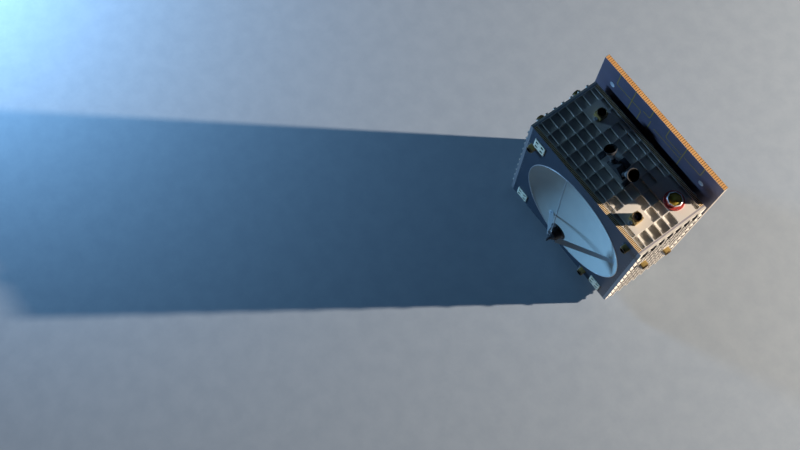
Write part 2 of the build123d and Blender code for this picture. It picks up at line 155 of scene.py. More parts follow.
def piece(name, bm, finishes, slot, *nodes, crease=34):
    """Makes the bmesh a piece of the object, in place of the CAD nodes that are named."""
    mesh = bpy.data.meshes.new(name)
    bm.to_mesh(mesh)
    bm.free()
    for material in finishes:
        mesh.materials.append(material)
    mesh.shade_smooth()
    mesh.set_sharp_from_angle(angle=radians(crease))
    thing = bpy.data.objects.new(name, mesh)
    bpy.context.scene.collection.objects.link(thing)
    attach(thing, "root")
    if nodes:
        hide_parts(*nodes)
    return thing


def screw_shape(radius, height, steps=8):
    """A socket-head screw that stands on the XY plane."""
    return turned([(0, 0), (radius, 0), (radius, 0.75 * height), (0.8 * radius, height),
                   (0.5 * radius, height), (0.4 * radius, 0.5 * height), (0, 0.5 * height)], steps)


def at(x, y, z):
    """A move from the origin to a point."""
    return Matrix.Translation((x, y, z))


ring_finish = coat("anodised_ring", (0.60, 0.61, 0.63), (0.50, 0.51, 0.54), 0.36, metal=1.0,
                   stretch=(1, 1, 9))
steel = coat("screw_steel", (0.30, 0.30, 0.31), (0.22, 0.22, 0.24), 0.38, metal=0.9, grain=900)
finish(ring_finish, "separation_ring")
ring_bolt_radius = 0.1905
ring_bolt_count = 24
ring_flange = 0.008
ring_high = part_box("separation_ring")[1]
ring_screw = screw_shape(0.0052, 0.006, 12)
head_down = Matrix.Rotation(pi, 4, "X")
bm = bmesh.new()
for i in range(ring_bolt_count):
    angle = 2 * pi * i / ring_bolt_count
    spot = Vector((cos(angle), sin(angle), 0)) * ring_bolt_radius
    put(bm, ring_screw, [at(spot.x, spot.y, ring_high.z - ring_flange) @ head_down])
piece("ring_screws", bm, [steel], "bare_metal")


# Top, bottom and side panels, each machined from one aluminium plate and painted
# ivory. Painted shade greys the top and bottom pocket floors, blackens the side pockets,
# darkens the side panels' ends and lies as a shadow along the seam beside the top panel.
def lay_over(material, mask, colour):
    """Lays one more colour over a finish where the mask is 1."""
    nodes = material.node_tree.nodes
    link = material.node_tree.links.new
    base = nodes["Principled BSDF"].inputs["Base Color"]
    below = base.links[0].from_socket
    mix = nodes.new("ShaderNodeMix")
    mix.data_type = "RGBA"
    mix.inputs[mix_second].default_value = (*colour, 1)
    link(mask, mix.inputs[mix_factor])
    link(below, mix.inputs[mix_first])
    link(mix.outputs[mix_result], base)


def coordinate(material, axis):
    """The X, Y or Z of a point of the piece."""
    nodes = material.node_tree.nodes
    place = nodes.new("ShaderNodeTexCoord")
    split = nodes.new("ShaderNodeSeparateXYZ")
    material.node_tree.links.new(place.outputs["Object"], split.inputs[0])
    return split.outputs[axis]


def worked(material, operation, first, second=0.0):
    """The output of a math node."""
    node = material.node_tree.nodes.new("ShaderNodeMath")
    node.operation = operation
    for socket, value in zip(node.inputs, (first, second)):
        if isinstance(value, (int, float)):
            socket.default_value = value
        else:
            material.node_tree.links.new(value, socket)
    return node.outputs[0]


def ramp(material, value, start, end):
    """0 up to the start value, 1 from the end value on."""
    node = material.node_tree.nodes.new("ShaderNodeMapRange")
    node.inputs["From Min"].default_value = start
    node.inputs["From Max"].default_value = end
    material.node_tree.links.new(value, node.inputs["Value"])
    return node.outputs["Result"]


ivory = (0.80, 0.76, 0.69)
ivory_second = (0.74, 0.70, 0.64)
# Painted shade: a greyer ivory on the pocket floors, for the shade deep in the pockets
pocket_floor_shade = (0.70, 0.67, 0.62)
# Painted shade: near black inside the side pockets, below the ribs' edges
pocket_shade_black = (0.060, 0.060, 0.066)
# Painted shade: a dark grey on the side panels' ivory ends
end_shade_grey = (0.26, 0.27, 0.30)
# Painted shadow: a grey strip on the side panels' top edge along the seam with the top panel
seam_shadow_grey = (0.36, 0.34, 0.38)
bus_bottom = ring_high.z
bus_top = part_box("top_grid_panel")[1].z
pocket_depth = 0.0135
floor_edge = 0.001
floor_fade = 0.005
paints = {}
for which in ("top", "bottom", "side"):
    paints[which] = coat(f"grid_paint_{which}", ivory, ivory_second, 0.5, grain=500, relief=0.2)
height = coordinate(paints["top"], "Z")
edge = bus_top - pocket_depth + floor_edge
lay_over(paints["top"], ramp(paints["top"], height, edge + floor_fade, edge), pocket_floor_shade)
height = coordinate(paints["bottom"], "Z")
edge = bus_bottom + pocket_depth - floor_edge
lay_over(paints["bottom"], ramp(paints["bottom"], height, edge - floor_fade, edge), pocket_floor_shade)

side_paint = paints["side"]
side_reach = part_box("right_grid_panel")[1]
side_border = 0.0265
rib_edge = 0.0011
rib_fade = 0.0006
end_depth = 0.0003
seam_width = 0.010
seam_depth = 0.0004
height = coordinate(side_paint, "Z")
outwards = worked(side_paint, "ABSOLUTE", coordinate(side_paint, "X"))
along = worked(side_paint, "ABSOLUTE", coordinate(side_paint, "Y"))
level = worked(side_paint, "SUBTRACT", height, (bus_top + bus_bottom) / 2)
level = worked(side_paint, "ABSOLUTE", level)
between_ends = worked(side_paint, "LESS_THAN", along, side_reach.y - side_border)
between_edges = worked(side_paint, "LESS_THAN", level, (bus_top - bus_bottom) / 2 - side_border)
within = worked(side_paint, "MULTIPLY", between_ends, between_edges)
sunk = ramp(side_paint, outwards, side_reach.x - rib_edge, side_reach.x - rib_edge - rib_fade)
lay_over(side_paint, worked(side_paint, "MULTIPLY", within, sunk), pocket_shade_black)
lay_over(side_paint, worked(side_paint, "GREATER_THAN", along, side_reach.y - end_depth), end_shade_grey)
seam = worked(side_paint, "LESS_THAN", outwards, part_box("top_grid_panel")[1].x + seam_width)
uppermost = worked(side_paint, "GREATER_THAN", height, bus_top - seam_depth)
lay_over(side_paint, worked(side_paint, "MULTIPLY", seam, uppermost), seam_shadow_grey)


def eased(part, edges, offset, segments=2, clamp=False):
    """Rounds some of the edges of a bmesh."""
    bmesh.ops.bevel(part, geom=edges, offset=offset, segments=segments, profile=0.5,
                    affect="EDGES", clamp_overlap=clamp, material=-1)


def rounded_ribs(name, node, facing, ease, paint):
    """A grid panel in place of its CAD node, with the rib edges along its open face rounded."""
    bm = bmesh.new()
    bm.from_mesh(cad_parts[node].data)
    bmesh.ops.remove_doubles(bm, verts=bm.verts, dist=touching)
    bmesh.ops.dissolve_limit(bm, angle_limit=radians(1), verts=bm.verts, edges=bm.edges)
    flush = 1e-5
    low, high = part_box(node)
    across = [axis for axis in range(3) if not facing[axis]]
    face_level = max(vert.co.dot(facing) for vert in bm.verts)
    ribs = []
    for edge in bm.edges:
        ends = [vert.co for vert in edge.verts]
        on_face = all(abs(end.dot(facing) - face_level) < flush for end in ends)
        leans = sorted(face.normal.dot(facing) for face in edge.link_faces)
        square = len(leans) == 2 and leans[0] < 0.1 and leans[1] > 0.9
        on_border = False
        for axis in across:
            for side in (low[axis], high[axis]):
                if all(abs(end[axis] - side) < flush for end in ends):
                    on_border = True
        if on_face and square and not on_border:
            ribs.append(edge)
    eased(bm, ribs, ease, 3, clamp=True)
    return piece(name, bm, [paint], "grid_metal", node, crease=10)


top_ease = 0.0024
side_ease = 0.0012
rounded_ribs("top_ribs", "top_grid_panel", Vector((0, 0, 1)), top_ease, paints["top"])
rounded_ribs("bottom_ribs", "bottom_grid_panel", Vector((0, 0, -1)), top_ease, paints["bottom"])
rounded_ribs("left_ribs", "left_grid_panel", Vector((-1, 0, 0)), side_ease, side_paint)
rounded_ribs("right_ribs", "right_grid_panel", Vector((1, 0, 0)), side_ease, side_paint)


# Front and rear panels of the bus: honeycomb sandwiches of dark carbon skins on an
# aluminium core, screwed on along their edges. Top and bottom are left open, so that
# the gilt core shows there between the bright edges of the skins.
def drawn_out(part, reach):
    """Gives a flat bmesh its thickness."""
    drawn = bmesh.ops.extrude_face_region(part, geom=part.faces[:])
    moved = [item for item in drawn["geom"] if isinstance(item, bmesh.types.BMVert)]
    bmesh.ops.translate(part, vec=reach, verts=moved)


facing_front = Matrix.Rotation(pi / 2, 4, "X")


def plate(bm, low, high, hole, finish_index):
    """A plate square to Y, with a round hole in it if a centre and radius are given."""
    part = bmesh.new()
    outline = [(low.x, low.z), (high.x, low.z), (high.x, high.z), (low.x, high.z)]
    corners = [part.verts.new((x, low.y, z)) for x, z in outline]
    for i in range(4):
        part.edges.new((corners[i - 1], corners[i]))
    if hole:
        centre, radius = hole
        place = at(centre.x, low.y, centre.z) @ facing_front
        bmesh.ops.create_circle(part, segments=160, radius=radius, matrix=place)
    bmesh.ops.triangle_fill(part, use_beauty=True, edges=part.edges[:])
    drawn_out(part, (0, high.y - low.y, 0))
    put(bm, shape(part), [Matrix()], finish_index)


def block(low, high):
    """A bmesh of a box between two corners."""
    part = bmesh.new()
    bmesh.ops.create_cube(part, size=1)
    bmesh.ops.scale(part, vec=high - low, verts=part.verts)
    bmesh.ops.translate(part, vec=(low + high) / 2, verts=part.verts)
    return part


def slab(low, high, ease=0.0):
    """A mesh of a box between two corners, its edges eased."""
    part = block(low, high)
    if ease:
        eased(part, part.edges[:], ease)
    return shape(part)


def sandwich(name, node, rib_pitch, rib_share, finishes, hole=None):
    """A honeycomb panel in place of its CAD node; finishes for its skins, core, ribs and edges."""
    skins, core, ribs, edges = range(4)
    skin = 0.0012
    setback = 0.005
    rib_gap = 0.0002
    low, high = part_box(node)
    bm = bmesh.new()
    plate(bm, low, Vector((high.x, low.y + skin, high.z)), hole, skins)
    plate(bm, Vector((low.x, high.y - skin, low.z)), high, hole, skins)
    for face in bm.faces:
        if abs(face.normal.z) > 0.99:
            face.material_index = edges
    inset = Vector((0, skin, setback))
    plate(bm, low + inset, high - inset, hole, core)
    count = round((high.x - low.x) / rib_pitch)
    pitch = (high.x - low.x) / count
    half = Vector((pitch * rib_share, high.y - low.y - 2 * skin, setback - 2 * rib_gap)) / 2
    for i in range(count):
        x = low.x + (i + 0.5) * pitch
        for z in (low.z + setback / 2, high.z - setback / 2):
            middle = Vector((x, (low.y + high.y) / 2, z))
            put(bm, slab(middle - half, middle + half), [Matrix()], ribs)
    return piece(name, bm, finishes, "panel_face", node)


weave_pitch = 0.005
weave_tone = (0.045, 0.055, 0.075)
weave_share = 0.25


def woven(material):
    """Adds the faint squares of a carbon weave on faces square to Y."""
    nodes = material.node_tree.nodes
    link = material.node_tree.links.new
    off_seam = 0.001
    place = nodes.new("ShaderNodeTexCoord")
    flat = nodes.new("ShaderNodeMapping")
    flat.inputs["Scale"].default_value = (1, 0, 1)
    flat.inputs["Location"].default_value = (0, off_seam, 0)
    squares = nodes.new("ShaderNodeTexChecker")
    squares.inputs["Scale"].default_value = 1 / weave_pitch
    link(place.outputs["Object"], flat.inputs["Vector"])
    link(flat.outputs["Vector"], squares.inputs["Vector"])
    faint = worked(material, "MULTIPLY", squares.outputs["Fac"], weave_share)
    lay_over(material, faint, weave_tone)


carbon = coat("carbon_skin", (0.052, 0.072, 0.108), (0.043, 0.062, 0.094), 0.42, grain=250,
              relief=0.1)
woven(carbon)
# Painted shade: the recessed core behind the ribs is near black, for the shade in the open cells
core_shade = coat("core_shade", (0.040, 0.026, 0.018), (0.026, 0.018, 0.014), 0.7)
core_gilt = coat("core_gilt", (0.82, 0.47, 0.19), (0.74, 0.39, 0.14), 0.45, grain=200)
core_pale = coat("core_pale", (0.98, 0.74, 0.44), (0.94, 0.66, 0.36), 0.45, grain=200)
skin_edge = coat("skin_edge", (0.72, 0.70, 0.66), (0.62, 0.60, 0.58), 0.4, metal=0.3)
panel_finishes = [carbon, core_shade, core_pale, skin_edge]
panel_rib_pitch = 0.009
panel_rib_share = 0.5
bowl_low, bowl_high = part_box("reflector_bowl")
dish_radius = (bowl_high.x - bowl_low.x) / 2
dish_centre = Vector(((bowl_low.x + bowl_high.x) / 2, bowl_low.y, (bowl_low.z + bowl_high.z) / 2))
rim_low, rim_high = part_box("reflector_rim")
rim_outer = (rim_high.x - rim_low.x) / 2
rim_gap = 0.0003
sandwich("front_honeycomb", "front_panel", panel_rib_pitch, panel_rib_share, panel_finishes,
         (dish_centre, rim_outer + rim_gap))
sandwich("rear_honeycomb", "rear_panel", panel_rib_pitch, panel_rib_share, panel_finishes)
front_low, front_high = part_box("front_panel")
small_screw = screw_shape(0.0028, 0.0012)
edge_inset = Vector((0.010, 0, 0.010))
screws_a_side = 20
screws_low = front_low + edge_inset
screws_high = front_high - edge_inset
bm = bmesh.new()
for i in range(screws_a_side):
    step = (screws_high - screws_low) * i / screws_a_side
    for x, z in ((screws_low.x + step.x, screws_low.z), (screws_high.x, screws_low.z + step.z),
                 (screws_high.x - step.x, screws_high.z), (screws_low.x, screws_high.z - step.z)):
        put(bm, small_screw, [at(x, front_low.y, z) @ facing_front])
piece("front_panel_screws", bm, [steel], "bare_metal")

# Battery, tank and electronics inside the bus, as one plain block: aluminium
# housings under a grey wrap, bolted in before the panels close over them.
finish(coat("equipment_wrap", (0.30, 0.30, 0.31), (0.22, 0.22, 0.23), 0.6), "equipment_block")


# Reflector: an aluminium bowl spun to a true paraboloid, with satin paint. It is
# bonded in a turned ring, whose bright lip stands just proud of the front panel.
def depth_at(radius):
    """How far the bowl lies behind its rim, at a radius."""
    return dish_depth * (1 - (radius / dish_radius) ** 2)


dish_depth = 0.155
dish_wall = 0.003
dish_steps = 144
meridian_steps = 28
radii = [dish_radius * i / meridian_steps for i in range(meridian_steps + 1)]
inner_face = [(radius, -depth_at(radius)) for radius in radii]
outer_face = [(radius, -depth_at(radius) - dish_wall) for radius in reversed(radii)]
facing_dish = at(*dish_centre) @ facing_front
bm = bmesh.new()
put(bm, turned(inner_face + outer_face, dish_steps), [facing_dish])
bowl_paint = coat("reflector_paint", (0.60, 0.70, 0.71), (0.56, 0.66, 0.68), 0.38, grain=700,
                  relief=0.08, clear=0.15)
piece("reflector_skin", bm, [bowl_paint], "reflector_skin", "reflector_bowl")

rim_front = dish_centre.y - rim_low.y
rim_back = dish_centre.y - rim_high.y
rim_ease = 0.0008
profile = [(dish_radius, rim_back), (rim_outer, rim_back), (rim_outer, rim_front - rim_ease),
           (rim_outer - rim_ease, rim_front), (dish_radius + rim_ease, rim_front),
           (dish_radius, rim_front - rim_ease)]
bm = bmesh.new()
put(bm, turned(profile, dish_steps, closed=True), [facing_dish])
rim_finish = coat("rim_metal", (0.74, 0.76, 0.80), (0.66, 0.68, 0.73), 0.3, metal=0.6, grain=300)
piece("reflector_lip", bm, [rim_finish], "rim_metal", "reflector_rim")

# Feed at the focus: a choke disc faces the bowl, and behind it a cast body tapers
# to a hub, a stepped cap and a probe. Three flat blades carry it, each screwed to a
# small pad on the bowl.
drum_low, drum_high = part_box("feed_drum")
drum_back = dish_centre.y - drum_high.y
drum_front = dish_centre.y - drum_low.y
disc_radius = (drum_high.x - drum_low.x) / 2
disc_front = drum_back + 0.012
disc_ease = 0.003
choke_inner = 0.020
choke_outer = 0.026
choke_floor = drum_back + 0.004
shoulder_radius = 0.052
hub_radius = 0.038
feed_black = coat("feed_black", (0.016, 0.017, 0.022), (0.030, 0.026, 0.030), 0.42, grain=600,
                  clear=0.15)
feed_grey = coat("feed_grey", (0.080, 0.088, 0.105), (0.060, 0.066, 0.080), 0.4, metal=0.5)
profile = [(0, drum_back), (choke_inner, drum_back), (choke_inner, choke_floor),
           (choke_outer, choke_floor), (choke_outer, drum_back),
           (disc_radius - disc_ease, drum_back), (disc_radius - 0.001, drum_back + 0.001),
           (disc_radius, drum_back + disc_ease), (disc_radius, disc_front - disc_ease),
           (disc_radius - disc_ease, disc_front), (shoulder_radius, disc_front),
           (hub_radius + 0.004, drum_front - 0.011), (hub_radius + 0.003, drum_front - 0.009),
           (hub_radius, drum_front - 0.002), (hub_radius - 0.002, drum_front), (0, drum_front)]
bm = bmesh.new()
put(bm, turned(profile, 80), [facing_dish])
cap_low, cap_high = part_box("feed_cap")
cap_front = dish_centre.y - cap_low.y
cap_radius = (cap_high.x - cap_low.x) / 2
cap_neck = cap_radius * 0.80
cap_flange = drum_front + 0.005
profile = [(0, drum_front), (cap_radius, drum_front), (cap_radius, cap_flange),
           (cap_neck, drum_front + 0.007), (cap_neck, cap_front - 0.003),
           (cap_radius * 0.72, cap_front), (0, cap_front)]
put(bm, turned(profile, 48), [facing_dish], 1)
tip_low, tip_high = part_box("feed_tip")
tip_front = dish_centre.y - tip_low.y
tip_radius = (tip_high.x - tip_low.x) / 2
tip_neck = tip_radius * 0.7
profile = [(0, cap_front), (tip_radius, cap_front), (tip_radius, cap_front + 0.012),
           (tip_neck, cap_front + 0.015), (tip_neck, tip_front - 0.006),
           (tip_radius * 0.4, tip_front), (0, tip_front)]
put(bm, turned(profile, 32), [facing_dish], 1)
cap_screw = screw_shape(0.0022, 0.002)
cap_screw_count = 6
for i in range(cap_screw_count):
    turn = Matrix.Rotation(2 * pi * i / cap_screw_count, 4, "Z")
    put(bm, cap_screw, [facing_dish @ turn @ at(cap_radius * 0.9, 0, cap_flange)], 1)
piece("feed", bm, [feed_black, feed_grey], "feed_dark", "feed_drum", "feed_cap", "feed_tip")

strut_paint = coat("strut_paint", (0.64, 0.72, 0.80), (0.57, 0.66, 0.75), 0.36, grain=500,
                   clear=0.1)
finish(strut_paint, "feed_strut_upper_left", "feed_strut_right", "feed_strut_lower_left")
foot_radius = 0.357
foot_slope = Matrix.Rotation(-radians(32), 4, "Y")
pad_radius = 0.017
pad_foot = -0.001
pad_top = 0.0035
pad_ease = 0.001
pad_screw_spacing = 0.022
pad_screw = screw_shape(0.0028, 0.0028)
pad_mesh = turned([(0, pad_foot), (pad_radius, pad_foot), (pad_radius, pad_top - pad_ease),
                   (pad_radius - pad_ease, pad_top), (0, pad_top)], 24)
bm = bmesh.new()
for strut_angle in (-30, 90, 210):
    turn = Matrix.Rotation(pi / 2 - radians(strut_angle), 4, "Z")
    foot = facing_dish @ turn @ at(foot_radius, 0, -depth_at(foot_radius)) @ foot_slope
    put(bm, pad_mesh, [foot])
    for side in (-1, 1):
        put(bm, pad_screw, [foot @ at(0, side * pad_screw_spacing / 2, pad_top)])
piece("strut_pads", bm, [strut_paint], "strut_grey")

# Patch antennas on the corners of the front panel: each a pale ceramic-loaded board
# with four dark windows milled in it, held by a screw at each corner.
board = coat("patch_board", (0.92, 0.92, 0.76), (0.86, 0.88, 0.72), 0.5, grain=800)
board_window = coat("patch_window", (0.012, 0.050, 0.044), (0.020, 0.036, 0.040), 0.3, clear=0.3)
board_ease = 0.0012
board_screw = screw_shape(0.0025, 0.0012)
board_screw_x = 0.040
board_screw_z = 0.044
window = 0.023
window_spacing = Vector((0.046, 0, 0.050))
window_depth = 0.004
for node in ("patch_antenna_upper_left", "patch_antenna_lower_left", "patch_antenna_lower_right"):
    low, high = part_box(node)
    middle = (low + high) / 2
    part = block(low - middle, high - middle)
    eased(part, part.edges[:], board_ease)
    for side in (-1, 1):
        for edge in (-1, 1):
            cut_x = side * window_spacing.x / 2 + edge * window / 2
            cut_z = side * window_spacing.z / 2 + edge * window / 2
            for spot, normal in (((cut_x, 0, 0), (1, 0, 0)), ((0, 0, cut_z), (0, 0, 1))):
                whole = part.verts[:] + part.edges[:] + part.faces[:]
                bmesh.ops.bisect_plane(part, geom=whole, plane_co=spot, plane_no=normal)
    windows = []
    for face in part.faces:
        spot = face.calc_center_median()
        in_x = abs(abs(spot.x) - window_spacing.x / 2) < window / 4
        in_z = abs(abs(spot.z) - window_spacing.z / 2) < window / 4
        if face.normal.y < -0.9 and in_x and in_z:
            windows.append(face)
    bmesh.ops.inset_individual(part, faces=windows, thickness=0.0006, depth=-window_depth)
    for face in windows:
        face.material_index = 1
    bm = bmesh.new()
    put(bm, shape(part), [at(*middle)])
    for x in (middle.x - board_screw_x, middle.x + board_screw_x):
        for z in (middle.z - board_screw_z, middle.z + board_screw_z):
            put(bm, board_screw, [at(x, low.y, z) @ facing_front], 2)
    piece(node.replace("antenna", "board"), bm, [board, board_window, steel], "patch_board", node)

# Sensor heads, two wide and seven narrow: a gilt square housing on a thin foot, and
# on it a round collar, black inside, with a coated lens. Four screws hold the lid,
# and a sheet-metal angle with two gussets stands beside it.
gilt = coat("gilt_housing", (0.42, 0.29, 0.100), (0.34, 0.24, 0.080), 0.38, metal=0.3,
            grain=500, clear=0.1)
gilt_deep = coat("gilt_collar", (0.16, 0.10, 0.035), (0.12, 0.075, 0.030), 0.36, metal=0.5,
                 grain=500)
lamp_black = coat("lamp_black", (0.0030, 0.0026, 0.0026), (0.0060, 0.0050, 0.0050), 0.75)
lens_glass = coat("lens_glass", (0.0030, 0.0035, 0.0080), (0.0050, 0.0028, 0.0060), 0.25,
                  relief=0.0)
for dull in (lamp_black, lens_glass):
    dull.node_tree.nodes["Principled BSDF"].inputs["Specular IOR Level"].default_value = 0.1
sheet_metal = coat("sheet_metal", (0.66, 0.70, 0.78), (0.58, 0.62, 0.70), 0.34, metal=0.7,
                   grain=500, stretch=(1, 1, 5))


def rounded_block(half, low, high, corner, ease):
    """A mesh of a square block about Z, its upright corners rounded, its top edge eased."""
    part = block(Vector((-half, -half, low)), Vector((half, half, high)))
    upright = [edge for edge in part.edges
               if abs(edge.verts[0].co.z - edge.verts[1].co.z) > (high - low) / 2]
    eased(part, upright, corner, 5)
    upper = [edge for edge in part.edges
             if all(abs(vert.co.z - high) < touching for vert in edge.verts)]
    eased(part, upper, ease)
    return shape(part)


def head_shape(half, corner, housing, collar, height, mouth):
    """A head that stands on the XY plane: housing, collar, throat, lens and lid screws."""
    gilded, bronzed, black, glass, screws = range(5)
    lens = mouth * 0.46
    sill = height - 0.0070
    foot = 0.004
    lid = 0.0036
    reveal = 0.001
    bm = bmesh.new()
    put(bm, rounded_block(half, 0, foot, corner, 0.0005), [Matrix()], gilded)
    put(bm, rounded_block(half - reveal, foot - 0.001, housing - lid - 0.0004, corner, 0.0006),
        [Matrix()], gilded)
    put(bm, rounded_block(half, housing - lid, housing, corner, 0.001), [Matrix()], gilded)
    ring = [(mouth, housing - 0.001), (collar - 0.0006, housing - 0.001), (collar, housing + 0.001),
            (collar, height - 0.001), (collar - 0.001, height), (mouth + 0.0008, height),
            (mouth, height - 0.0008)]
    put(bm, turned(ring, 64, closed=True), [Matrix()], bronzed)
    throat = [(mouth + 0.0002, sill - 0.0003), (mouth + 0.0002, height - 0.0012),
              (mouth - 0.0004, height - 0.0014), (mouth - 0.001, sill + 0.0014),
              (mouth * 0.77, sill + 0.0004), (lens + 0.001, sill), (0, sill), (0, sill - 0.0003)]
    put(bm, turned(throat, 64), [Matrix()], black)
    dome = [(0, sill - 0.0002), (lens, sill - 0.0002), (lens, sill + 0.0004),
            (lens * 0.83, sill + 0.001), (lens * 0.5, sill + 0.0015), (0, sill + 0.0017)]
    put(bm, turned(dome, 32), [Matrix()], glass)
    lid_screw = screw_shape(0.0019, 0.0016)
    for i in range(4):
        turn = Matrix.Rotation(pi / 4 + i * pi / 2, 4, "Z")
        spot = turn @ at(half * sqrt(2) - corner * 0.41 - 0.0045, 0, housing)
        put(bm, lid_screw, [spot], screws)
    return shape(bm)


def bracket_shape(head_half, half, reach, web_height):
    """The angle beside a head that stands on the XY plane, with its two gussets and two screws."""
    near = -head_half
    sheet = 0.004
    ease = 0.0006
    gusset_thick = 0.0015
    gusset_inset = 0.003
    screw_x = 0.003
    flange = slab(Vector((-half, near - reach, 0)), Vector((half, near, sheet)), ease)
    web = slab(Vector((-half, near - sheet, 0.002)), Vector((half, near, web_height)), ease)
    bm = bmesh.new()
    put(bm, flange, [Matrix()], 0)
    put(bm, web, [Matrix()], 0)
    for x in (-half + 0.0005, half - 0.0005 - gusset_thick):
        gusset = bmesh.new()
        corners = [(gusset_inset, gusset_inset), (reach - 0.002, gusset_inset),
                   (gusset_inset, web_height - 0.003)]
        gusset.faces.new([gusset.verts.new((x, near - y, z)) for y, z in corners])
        drawn_out(gusset, (gusset_thick, 0, 0))
        put(bm, shape(gusset), [Matrix()], 0)
    for x in (-screw_x, screw_x):
        put(bm, screw_shape(0.0019, 0.0020), [at(x, near - (sheet + reach) / 2, sheet)], 1)
    return shape(bm)


wide_head = head_shape(half=0.030, corner=0.005, housing=0.040, collar=0.031, height=0.050,
                       mouth=0.026)
narrow_head = head_shape(half=0.022, corner=0.004, housing=0.028, collar=0.0225, height=0.036,
                         mouth=0.0185)
low_bracket = bracket_shape(head_half=0.030, half=0.010, reach=0.018, web_height=0.014)
tall_bracket = bracket_shape(head_half=0.022, half=0.008, reach=0.014, web_height=0.028)
turns = {
    "top": Matrix(),
    "front": facing_front @ Matrix.Rotation(-pi / 2, 4, "Z"),
    "left": Matrix.Rotation(-pi / 2, 4, "Y"),
    "right": Matrix.Rotation(pi / 2, 4, "Y"),
}
# The axis along which each panel's heads stand, and which end of their box is the foot
foot_sides = {"top": (2, 0), "front": (1, 1), "left": (0, 1), "right": (0, 0)}
heads = {
    "top": ("left", "right"),
    "front": ("left", "right", "low"),
    "left": ("front", "rear"),
    "right": ("front", "rear"),
}
head_finishes = [gilt, gilt_deep, lamp_black, lens_glass, steel]
for which, names in heads.items():
    head_mesh = wide_head if which == "top" else narrow_head
    bracket_mesh = low_bracket if which == "top" else tall_bracket
    axis, side = foot_sides[which]
    brackets = bmesh.new()
    for name in names:
        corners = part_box(f"sensor_head_{which}_{name}")
        spot = (corners[0] + corners[1]) / 2
        spot[axis] = corners[side][axis]
        bm = bmesh.new()
        put(bm, head_mesh, [at(*spot) @ turns[which]])
        piece(f"head_{which}_{name}", bm, head_finishes, "gold_coat", f"sensor_head_{which}_{name}")
        put(brackets, bracket_mesh, [at(*spot) @ turns[which]])
    piece(f"angles_{which}", brackets, [sheet_metal, steel], "bare_metal", f"brackets_{which}")

# Star trackers: two cameras that look apart, each a barrel with a long flared
# baffle. The baffle is spun silver outside and black inside, with knife-edged rings
# that catch stray light; its lip and the top of its flare are dark as painted shade.
# Both stand on a dark gable block.
silver = coat("baffle_silver", (0.70, 0.72, 0.76), (0.62, 0.64, 0.69), 0.3, metal=0.75, grain=300)
mount_black = coat("mount_black", (0.045, 0.048, 0.055), (0.065, 0.066, 0.072), 0.45, metal=0.2)
tracker_tilt = radians(30)
neck_x = 0.0625
neck_height = 0.050
neck_radius = 0.014
mouth_radius = 0.040
baffle_length = 0.078
baffle_wall = 0.0015
band_level = 0.054
lip_level = baffle_length - 0.004
knife_rings = 6
knife_reach = 0.0055
spun, black, glass, dark, screws = range(5)
tracker = bmesh.new()
band_radius = neck_radius + (mouth_radius - 0.001 - neck_radius) * band_level / lip_level
band_inner = band_radius - 0.5 * baffle_wall
flare = [(neck_radius, 0), (band_radius, band_level), (band_inner, band_level),
         (neck_radius - 0.5 * baffle_wall, 0.003), (0, 0.003), (0, 0)]
put(tracker, turned(flare, 64), [Matrix()], spun)
# Painted shade: the lip and the top of the flare take the dark finish, for the deck's shadow over
# them
lip = [(band_radius, band_level), (mouth_radius - 0.001, lip_level),
       (mouth_radius, baffle_length - 0.003), (mouth_radius, baffle_length),
       (mouth_radius - baffle_wall, baffle_length), (mouth_radius - 1.3 * baffle_wall, lip_level),
       (band_inner, band_level)]
put(tracker, turned(lip, 64, closed=True), [Matrix()], dark)
inside = [(mouth_radius - 1.5 * baffle_wall, baffle_length - 0.0012)]
for i in range(knife_rings, 0, -1):
    level = baffle_length * i / (knife_rings + 0.6)
    wall = neck_radius + (mouth_radius - neck_radius) * level / baffle_length - baffle_wall
    inside += [(wall - 0.0006, level + 0.0015), (wall - knife_reach, level),
               (wall - 0.0008, level - 0.0006)]
inside += [(neck_radius - 0.004, 0.006), (0, 0.006), (0, 0.0055), (neck_radius - 0.002, 0.0055),
           (mouth_radius - 1.13 * baffle_wall, baffle_length - 0.0008)]
put(tracker, turned(inside, 64), [Matrix()], black)
lens = [(0, 0.0055), (0.0075, 0.0055), (0.006, 0.008), (0.003, 0.0092), (0, 0.0095)]
put(tracker, turned(lens, 24), [Matrix()], glass)
barrel_foot = -0.030
barrel_radius = 0.017
groove_radius = 0.0155
flange_radius = 0.021
flange_top = barrel_foot + 0.004
barrel = [(0, barrel_foot), (flange_radius, barrel_foot), (flange_radius, flange_top),
          (barrel_radius, flange_top + 0.001), (barrel_radius, -0.012), (groove_radius, -0.011),
          (groove_radius, -0.009), (barrel_radius, -0.008), (barrel_radius, -0.001),
          (barrel_radius - 0.001, 0), (0, 0)]
put(tracker, turned(barrel, 48), [Matrix()], dark)
flange_screw = screw_shape(0.0013, 0.0013)
flange_screw_count = 6
for i in range(flange_screw_count):
    turn = Matrix.Rotation(2 * pi * i / flange_screw_count, 4, "Z")
    put(tracker, flange_screw, [turn @ at(0.0188, 0, flange_top)], screws)
tracker_mesh = shape(tracker)
tracker_finishes = [silver, lamp_black, lens_glass, mount_black, steel]
mount_low, mount_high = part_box("star_tracker_mount")
mount_middle = (mount_low + mount_high) / 2
for name, side in (("left", -1), ("right", 1)):
    neck = at(mount_middle.x + side * neck_x, mount_middle.y, bus_top + neck_height)
    bm = bmesh.new()
    put(bm, tracker_mesh, [neck @ Matrix.Rotation(side * tracker_tilt, 4, "Y")])
    piece(f"baffle_{name}", bm, tracker_finishes, "bare_metal", f"star_tracker_{name}")
finish(mount_black, "star_tracker_mount")

